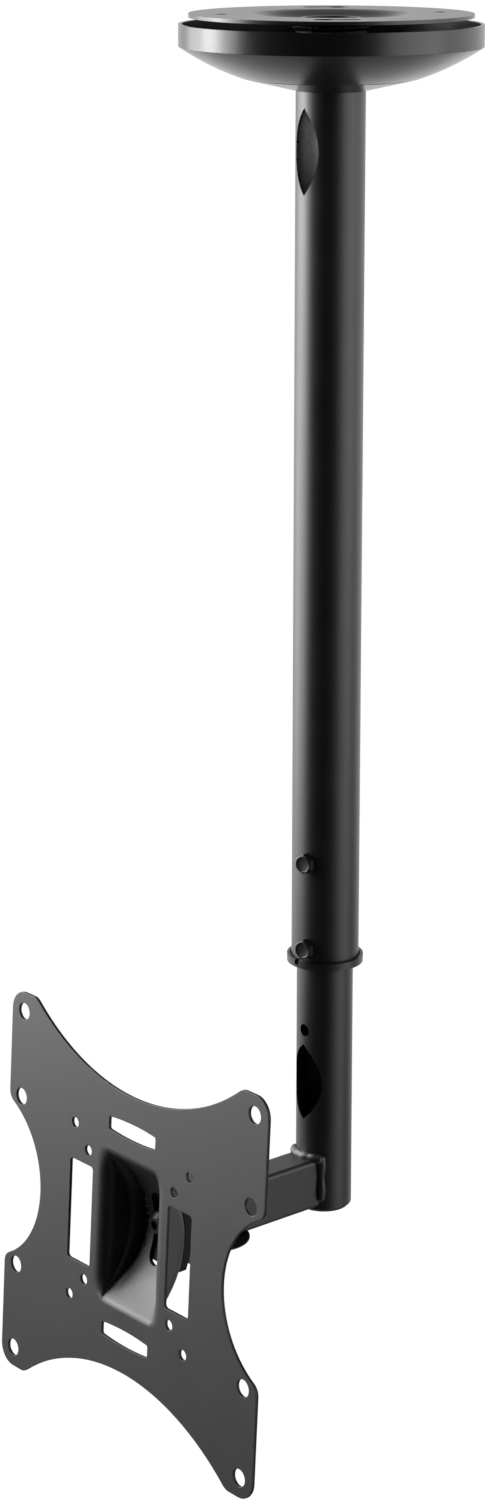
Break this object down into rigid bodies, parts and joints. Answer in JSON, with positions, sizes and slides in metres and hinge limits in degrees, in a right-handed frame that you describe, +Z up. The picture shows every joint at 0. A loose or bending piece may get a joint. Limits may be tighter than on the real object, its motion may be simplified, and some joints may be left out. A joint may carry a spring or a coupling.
{
  "type": "tv ceiling mount",
  "caption": "Black ceiling mount for a flat screen: telescopic pole with a sliding ceiling cover, a side arm with a swivel fork, and a pressed screen plate that tilts.",
  "frame": {"origin": "centre of the ceiling plate's top face, where it meets the ceiling, on the pole's axis", "axes": "+Z up along the pole, -Y from the pole towards the screen, +X to the right when looking along +Y"},
  "size_m": [0.222, 0.2315, 0.7703],
  "materials": {
    "tube_coat": "satin",
    "arm_coat": "satin",
    "plate_coat": "satin",
    "cover_plastic": "fine texture",
    "fitting_plastic": "satin",
    "slip_plastic": "satin",
    "bolt_black": "satin",
    "bare_steel": "turned"
  },
  "bodies": {
    "pole": {"ceiling_plate": "tube_coat", "upper_tube": "tube_coat", "end_bush": "fitting_plastic", "lock_bolt_1": "bolt_black", "lock_bolt_2": "bolt_black"},
    "cover": {"ceiling_cover": "cover_plastic"},
    "drop_tube": {"lower_tube": "tube_coat", "guide_ring": "fitting_plastic", "tube_plug": "fitting_plastic", "arm": "arm_coat", "arm_weld": "arm_coat", "arm_plug": "fitting_plastic", "swivel_sleeve": "bare_steel"},
    "swivel_head": {"fork": "arm_coat", "swivel_disc_top": "slip_plastic", "swivel_disc_bottom": "slip_plastic", "swivel_bolt": "bolt_black", "swivel_washer_top": "bolt_black", "swivel_washer_bottom": "bolt_black", "swivel_nut": "bolt_black", "tilt_seat": "arm_coat", "tilt_bolt": "bolt_black", "tilt_washer": "bolt_black", "tilt_nut": "bolt_black"},
    "screen": {"screen_plate": "plate_coat"}
  },
  "joints": [
    {"name": "cover_slide", "type": "slide", "parent": "pole", "child": "cover", "axis": [0, 0, 1], "range_m": [-0.4, 0.005]},
    {"name": "height_slide", "type": "slide", "parent": "pole", "child": "drop_tube", "axis": [0, 0, 1], "range_m": [-0.25, 0.05]},
    {"name": "head_swivel", "type": "hinge", "parent": "drop_tube", "child": "swivel_head", "pos_m": [0, -0.0824, -0.6609], "axis": [0, 0, 1], "range_deg": [-90, 90]},
    {"name": "plate_tilt", "type": "hinge", "parent": "swivel_head", "child": "screen", "pos_m": [0, -0.1697, -0.658], "axis": [1, 0, 0], "range_deg": [-12, 18]}
  ]
}
